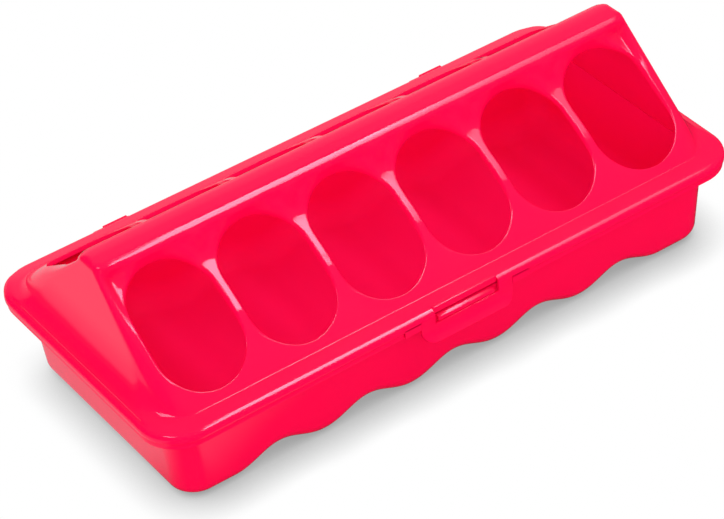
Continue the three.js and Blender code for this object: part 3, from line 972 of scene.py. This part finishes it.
trough = make_trough()
print("trough:", len(trough.data.vertices), "points,", len(trough.data.polygons), "faces")

# %% [markdown]
# ## Colours and shader nodes
#
# Shaders work with linear light, while a colour is easier to name as it is written on a screen, so
# one function turns the one into the other. Nodes could be set and linked line by line, but a small
# function that does it as it adds them keeps each shader readable.

# %% Written colours and a function that adds a node
def linear(colour):
    """A written colour such as FF054A as the linear values that shaders use."""
    parts = [int(colour[k : k + 2], 16) / 255 for k in (0, 2, 4)]
    parts = [c / 12.92 if c <= 0.04045 else ((c + 0.055) / 1.055) ** 2.4 for c in parts]
    return (*parts, 1.0)


def new_tree(owner):
    """An empty node tree for a material or a world."""
    owner.use_nodes = True
    owner.node_tree.nodes.clear()
    return owner.node_tree


def add_node(tree, kind, inputs=None, links=None, **settings):
    """Adds a shader node, sets its properties and inputs, and links other nodes' outputs into it."""
    node = tree.nodes.new(kind)
    for key, value in settings.items():
        setattr(node, key, value)
    for key, value in (inputs or {}).items():
        node.inputs[key].default_value = value
    for key, output in (links or {}).items():
        tree.links.new(output, node.inputs[key])
    return node


print("FF054A in linear light:", [round(c, 3) for c in linear("FF054A")])

# %% [markdown]
# ## Moulded polypropylene
#
# The plastic is one bright red, dyed right through. A painted texture could carry its look, but it
# has no pattern: what the eye sees is gloss. So the shader keeps one colour and varies what the
# mould left, a fine orange peel in the bump and slow clouds in the roughness. A translucent share
# lets light through the thin walls, so the inside glows.

# %% Red polypropylene
# The real peel is finer than a pixel of the render, so it is drawn at about 3 mm.
PEEL_SIZE, PEEL_DEPTH, PEEL_STRENGTH = 3.125, 0.2, 0.03
CLOUD_SIZE = 35.714
PP_IOR = 1.49
# The tint holds back green in reflections, so that highlights stay pink, as in dyed plastic.
PINK_TINT = "FFE1FF"


def polypropylene(name, colour, roughness, spread, glow, shine=0.5):
    """Red PP: roughness wanders by the spread, and glow is the share of light that passes through."""
    material = bpy.data.materials.new(name)
    tree = new_tree(material)
    place = add_node(tree, "ShaderNodeTexCoord").outputs["Object"]
    fine = {"Scale": 1 / (PEEL_SIZE * MM), "Detail": 2.0, "Roughness": 0.5}
    peel = add_node(tree, "ShaderNodeTexNoise", fine, {"Vector": place})
    depth = {"Strength": PEEL_STRENGTH, "Distance": PEEL_DEPTH * MM}
    bump = add_node(tree, "ShaderNodeBump", depth, {"Height": peel.outputs["Fac"]})
    slow = {"Scale": 1 / (CLOUD_SIZE * MM), "Detail": 3.0, "Roughness": 0.55}
    cloud = add_node(tree, "ShaderNodeTexNoise", slow, {"Vector": place})
    span = {"From Min": 0.3, "From Max": 0.7, "To Min": roughness, "To Max": roughness + spread}
    rough = add_node(tree, "ShaderNodeMapRange", span, {"Value": cloud.outputs["Fac"]})
    dye = linear(colour)
    tint = linear(PINK_TINT)
    gloss = {"Base Color": dye, "IOR": PP_IOR, "Specular IOR Level": shine, "Specular Tint": tint}
    marks = {"Normal": bump.outputs["Normal"], "Roughness": rough.outputs["Result"]}
    shader = add_node(tree, "ShaderNodeBsdfPrincipled", gloss, marks)
    through = add_node(tree, "ShaderNodeBsdfTranslucent", {"Color": dye})
    both = {1: shader.outputs["BSDF"], 2: through.outputs["BSDF"]}
    mix = add_node(tree, "ShaderNodeMixShader", {"Fac": glow}, both)
    add_node(tree, "ShaderNodeOutputMaterial", links={"Surface": mix.outputs["Shader"]})
    return material


print(f"peel {PEEL_SIZE} mm, clouds {CLOUD_SIZE} mm, IOR {PP_IOR}")

# %% The outside from the polished mould, and the inside from its core
# A polished steel cavity leaves a skin so smooth that lamps show in it as crisp, pale shapes.
polished = polypropylene("red_polypropylene_polished", "FF054A", 0.06, 0.04, 0.12)
# The plainer core behind the part leaves a dull skin, so the inside shows colour and hardly a lamp. Its
# slightly bluer red is painted shade colour for the dim inside; the plastic itself is one red.
core_side = polypropylene("red_polypropylene_core_side_shade_tint", "FF0554", 0.6, 0.12, 0.12, shine=0.04)
print("materials:", polished.name, "and", core_side.name)

# %% [markdown]
# ## Inside and outside
#
# On the real feeder the core of the mould leaves the insides duller. The insides of lid and trough
# could be meshes of their own, but then their borders would have to meet. It is simpler to pick, by
# the way they look, the faces that get the duller plastic.

# %% The faces that look inwards
LID_AXIS_HALF, LID_AXIS_HEIGHT = 120, 55
LOOKS_INWARDS, LOOKS_DOWN, LOOKS_UP = -0.4, -0.7, 0.5
INNER_X, INNER_Y = 140, 60


def lid_inside(centre, normal):
    """The lid's faces that look towards its middle, or down."""
    axis = Vector((max(-LID_AXIS_HALF, min(LID_AXIS_HALF, centre.x)), 0, LID_AXIS_HEIGHT))
    away = centre - axis
    return normal.dot(away) < LOOKS_INWARDS * away.length or normal.z < LOOKS_DOWN


def trough_inside(centre, normal):
    """The trough's inner walls and floor."""
    within = abs(centre.x) < INNER_X and abs(centre.y) < INNER_Y
    inward = centre.x * normal.x + centre.y * normal.y < 0
    return within and (inward or normal.z > LOOKS_UP)


print("the trough's floor looks inwards:", trough_inside(Vector((0, 0, 2)), Vector((0, 0, 1))))

# %% [markdown]
# ## Dressing the pieces
#
# Lid and tab move on the real feeder, so each piece rides on a body of the CAD model, and the lid,
# the tab, the catch and the trough stand for the CAD nodes that they replace. These lines could be
# written out for each piece, but one function for all of them can't forget one.

# %% Plastic, bodies and the CAD nodes they replace
def finish_piece(piece, body, replaces=(), inside=None):
    """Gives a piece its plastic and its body."""
    piece.data.materials.clear()
    piece.data.materials.append(polished)
    if inside:
        piece.data.materials.append(core_side)
        for face in piece.data.polygons:
            centre = Vector(face.center) / MM - Vector((0, SHIFT, 0))
            face.material_index = 1 if inside(centre, face.normal) else 0
    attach(piece, body)
    if replaces:
        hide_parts(*replaces)


finish_piece(lid, "lid", replaces=["feeding_lid"], inside=lid_inside)
finish_piece(tab, "tab", replaces=["latch_tab"])
finish_piece(rib, "lid")
finish_piece(catch, "trough", replaces=["latch_catch"])
for shoulder in shoulders:
    finish_piece(shoulder, "lid")
finish_piece(trough, "trough", replaces=["feed_trough"], inside=trough_inside)
print("faces inside the lid:", sum(face.material_index for face in lid.data.polygons))

# %% [markdown]
# ## The hinge
#
# Brackets, pins and clips hold lid and trough together on the far side. They could be made anew, but
# their CAD meshes already have the right form, so these are kept. A bevel modifier adds the soft
# edges that every moulding has.

# %% Soft edges for the hinge parts
HINGE_EDGE, HINGE_EDGE_STEPS = 0.45, 3
hinge_parts = {name: node for name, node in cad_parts.items() if not node.hide_render}
for node in hinge_parts.values():
    node.data.materials.clear()
    node.data.materials.append(polished)
    edge = node.modifiers.new("moulded_edges", "BEVEL")
    edge.width = HINGE_EDGE * MM
    edge.segments = HINGE_EDGE_STEPS
    edge.limit_method = "ANGLE"
    edge.angle_limit = math.radians(SHARP_ANGLE)
print("CAD nodes kept:", sorted(hinge_parts))

# %% [markdown]
# ## Three kinds of ray
#
# In a studio, the white behind the object, the cards that it mirrors and the light that falls on it
# are separate things. One white surround would flood the gloss with white. So floor and world have
# three shaders each, and the kind of ray picks one: for the camera, for reflections, or for the light
# on the object. The soft changes in reflections are smooth steps along directions.

# %% Three shaders by kind of ray, and soft steps
def soft_steps(tree, place, rows, operation):
    """Joins smooth steps. Each row has a direction, a span along it, and the levels at its ends."""
    joined = None
    for direction, start, end, low, high in rows:
        along = add_node(tree, "ShaderNodeVectorMath", {1: direction}, {0: place}, operation="DOT_PRODUCT")
        span = {"From Min": start, "From Max": end, "To Min": low, "To Max": high}
        value = {"Value": along.outputs["Value"]}
        step = add_node(tree, "ShaderNodeMapRange", span, value, interpolation_type="SMOOTHSTEP")
        level = step.outputs["Result"]
        if joined is not None:
            both = add_node(tree, "ShaderNodeMath", links={0: joined, 1: level}, operation=operation)
            level = both.outputs["Value"]
        joined = level
    return joined


def by_ray(tree, felt, seen, mirrored):
    """Shows one shader to the camera, one in reflections, and one to all other light."""
    ray = add_node(tree, "ShaderNodeLightPath")
    shown = felt
    for kind, shader in (("Is Camera Ray", seen), ("Is Glossy Ray", mirrored)):
        links = {0: ray.outputs[kind], 1: shown.outputs[0], 2: shader.outputs[0]}
        shown = add_node(tree, "ShaderNodeMixShader", links=links)
    return shown.outputs[0]


print("three shaders, for camera rays, glossy rays and all others")

# %% [markdown]
# ## The floor
#
# The photograph shows seamless white with a soft grey shadow along the feeder's front. Lit white
# paper could do this, but it never comes out evenly white. So the camera sees a plane that glows
# white and darkens where the feeder hides the light from above. In reflections the plane is bright
# to the left, which makes the end wall pale, and in a patch before the near left corner, which
# leaves a dark stripe down the trough's rounded corner.

# %% Matt white paper
# Its dull, even surface scatters light all round. The camera sees it glow white with a painted soft
# shadow, and reflections see painted bright patches in it, but no lamp.
PAPER = "E7E7E7"
# Painted contact shadow: ambient occlusion darkens the white glow that the camera sees.
SHADOW_FROM, SHADOW_REACH = (0.0, 0.3, 0.95), 0.021
SHADOW_RANGE = {"From Min": 0.15, "From Max": 0.95, "To Min": 0.36, "To Max": 1.0}
# Painted bright areas, seen only in reflections: a sweep to the left and a patch before the near left
# corner.
LEFT_SWEEP = [
    ((-0.75, 1.0, 0.0), 0.042, 0.092, 0.04, 0.62),
    ((-0.75, 1.0, 0.0), 0.3, 0.5, 1.0, 0.15),
]
CORNER_PATCH = [
    ((-0.35, -1.0, 0.0), 0.104, 0.13, 0.0, 0.6),
    ((1.0, 0.0, 0.0), -0.127, -0.114, 0.0, 1.0),
    ((0.0, 1.0, 0.0), -0.12, -0.095, 0.0, 1.0),
]


def white_paper():
    """A floor that glows evenly white to the camera, with a painted soft contact shadow and painted bright
    patches in reflections.
    """
    material = bpy.data.materials.new("white_floor_painted_shadow")
    tree = new_tree(material)
    x, y, z = Vector(SHADOW_FROM).normalized()
    leaning = add_node(tree, "ShaderNodeCombineXYZ", {"X": x, "Y": y, "Z": z}).outputs["Vector"]
    reach = {"Distance": SHADOW_REACH}
    hidden = add_node(tree, "ShaderNodeAmbientOcclusion", reach, {"Normal": leaning}, samples=16)
    shade = add_node(tree, "ShaderNodeMapRange", SHADOW_RANGE, {"Value": hidden.outputs["AO"]})
    place = add_node(tree, "ShaderNodeTexCoord").outputs["Object"]
    left = soft_steps(tree, place, LEFT_SWEEP, "MULTIPLY")
    patch = soft_steps(tree, place, CORNER_PATCH, "MULTIPLY")
    both = add_node(tree, "ShaderNodeMath", links={0: left, 1: patch}, operation="ADD")
    felt = add_node(tree, "ShaderNodeBsdfDiffuse", {"Color": linear(PAPER)})
    seen = add_node(tree, "ShaderNodeEmission", links={"Strength": shade.outputs["Result"]})
    mirrored = add_node(tree, "ShaderNodeEmission", links={"Strength": both.outputs["Value"]})
    shown = by_ray(tree, felt, seen, mirrored)
    add_node(tree, "ShaderNodeOutputMaterial", links={"Surface": shown})
    return material


print("paper in linear light:", round(linear(PAPER)[0], 3))

# %% The floor
FLOOR_HALF = 4000.0
corners = [(x * FLOOR_HALF, y * FLOOR_HALF, 0) for x, y in ((-1, -1), (1, -1), (1, 1), (-1, 1))]
floor = new_piece("floor", corners, [(0, 1, 2, 3)])
floor.data.materials.append(white_paper())
print("floor:", [round(size, 2) for size in floor.dimensions], "m")

# %% [markdown]
# ## The backdrop
#
# A photograph of a studio's room could light the scene, but a few plain levels are enough for one
# glossy colour, and they can be set. The world is white to the camera and even for the light on the
# object. In reflections it is dim, a little brighter overhead, with a bright sweep behind the feeder.

# %% The world
FELT, SEEN = 1.2, 1.0
MIRRORED = [
    ((0.45, 0.0, 0.9), 0.3, 0.9, 0.02, 0.19),
    ((0.3, 0.95, 0.0), 0.72, 0.95, 0.0, 0.8),
]


def make_world():
    world = bpy.data.worlds.new("studio")
    bpy.context.scene.world = world
    tree = new_tree(world)
    place = add_node(tree, "ShaderNodeTexCoord").outputs["Generated"]
    level = soft_steps(tree, place, MIRRORED, "ADD")
    white = linear("FFFFFF")
    felt = add_node(tree, "ShaderNodeBackground", {"Color": white, "Strength": FELT})
    seen = add_node(tree, "ShaderNodeBackground", {"Color": white, "Strength": SEEN})
    mirrored = add_node(tree, "ShaderNodeBackground", {"Color": white}, {"Strength": level})
    add_node(tree, "ShaderNodeOutputWorld", links={"Surface": by_ray(tree, felt, seen, mirrored)})
    return world


print("world:", make_world().name)

# %% [markdown]
# ## Lamps
#
# The bars of light on the webs show one long softbox above the feeder, which fades from left to
# right. One lamp has one brightness, so the softbox is laid out as strips side by side, each dimmer
# than the last. A card on the left lights the left hip's foot. These are only mirrored. Two more
# lamps, behind and in front, only shade the plastic.

# %% Softbox, card and two soft lamps
SOFTBOX_MIDDLE, SOFTBOX_ALONG = Vector((0.53, -0.05, 1.1)), Vector((0.893, 0.0, -0.451))
SOFTBOX_WIDTH = 1.15
# Each strip has its place along the softbox, its depth and its radiance.
STRIPS = [
    (-0.15, 0.2, 11.0),
    (-0.025, 0.05, 9.0),
    (0.025, 0.05, 5.5),
    (0.075, 0.05, 4.0),
    (0.15, 0.1, 2.8),
    (0.25, 0.1, 0.6),
]
LAMPS_LOOK_AT = Vector((0, 0, 0.05))


def make_lamp(name, place, width, depth, radiance, diffuse=True, glossy=True):
    """A softbox that looks at the feeder, as bright as the radiance says."""
    data = bpy.data.lights.new(name, "AREA")
    data.shape = "RECTANGLE"
    data.size, data.size_y = width, depth
    data.energy = radiance * math.pi * width * depth
    lamp = bpy.data.objects.new(name, data)
    bpy.context.scene.collection.objects.link(lamp)
    lamp.location = Vector(place)
    direction = LAMPS_LOOK_AT - Vector(place)
    lamp.rotation_euler = direction.to_track_quat("-Z", "Y").to_euler()
    lamp.visible_diffuse = diffuse
    lamp.visible_glossy = glossy
    return lamp


for offset, depth, radiance in STRIPS:
    place = SOFTBOX_MIDDLE + offset * SOFTBOX_ALONG
    make_lamp("overhead_softbox", place, SOFTBOX_WIDTH, depth, radiance, diffuse=False)
make_lamp("left_card", (-0.5, -0.08, 1.15), 0.36, 0.36, 6.0, diffuse=False)
make_lamp("back_light", (0.5, 0.9, 1.1), 0.8, 0.8, 1.5, glossy=False)
make_lamp("front_fill", (-0.5, -1.2, 0.7), 1.0, 0.8, 1.3, glossy=False)
print("lamps:", len(bpy.data.lights))

# %% [markdown]
# ## Camera
#
# The photograph looks down at the feeder's near left side through a long lens. A camera can be
# turned by hand until the outlines meet, but here its angles, distance and lens were fitted to
# points that were measured in the photograph.

# %% The fitted camera
AZIMUTH, ELEVATION, ROLL = math.radians(32.20), math.radians(38.60), math.radians(-5.26)
DISTANCE, FOCAL_PIXELS = 1357.5, 3154.5
AIM_HEIGHT, AIM_RIGHT, AIM_UP = 40, -3.44, -14.64
PHOTO_WIDTH, SENSOR_WIDTH = 724, 36.0


def make_camera():
    towards = Vector((
        -math.sin(AZIMUTH) * math.cos(ELEVATION),
        -math.cos(AZIMUTH) * math.cos(ELEVATION),
        math.sin(ELEVATION),
    ))
    level = Vector((0, 0, 1)).cross(towards).normalized()
    upright = towards.cross(level)
    right = math.cos(ROLL) * level + math.sin(ROLL) * upright
    up = -math.sin(ROLL) * level + math.cos(ROLL) * upright
    target = Vector((0, SHIFT, AIM_HEIGHT)) + AIM_RIGHT * right + AIM_UP * up
    place = target + towards * DISTANCE
    data = bpy.data.cameras.new("camera")
    data.sensor_width = SENSOR_WIDTH
    data.lens = FOCAL_PIXELS / PHOTO_WIDTH * SENSOR_WIDTH
    data.clip_end = 20
    camera = bpy.data.objects.new("camera", data)
    bpy.context.scene.collection.objects.link(camera)
    turn = Matrix((right, up, towards)).transposed().to_4x4()
    camera.matrix_world = Matrix.Translation(place * MM) @ turn
    bpy.context.scene.camera = camera
    return camera


camera = make_camera()
print("camera at", [round(v, 3) for v in camera.location], "lens", round(camera.data.lens, 1))

# %% [markdown]
# ## Finish
#
# The Standard view shows colours as they are written. The dressed feeder must not outgrow the
# solids.

# %% The view
bpy.context.scene.view_settings.view_transform = "Standard"
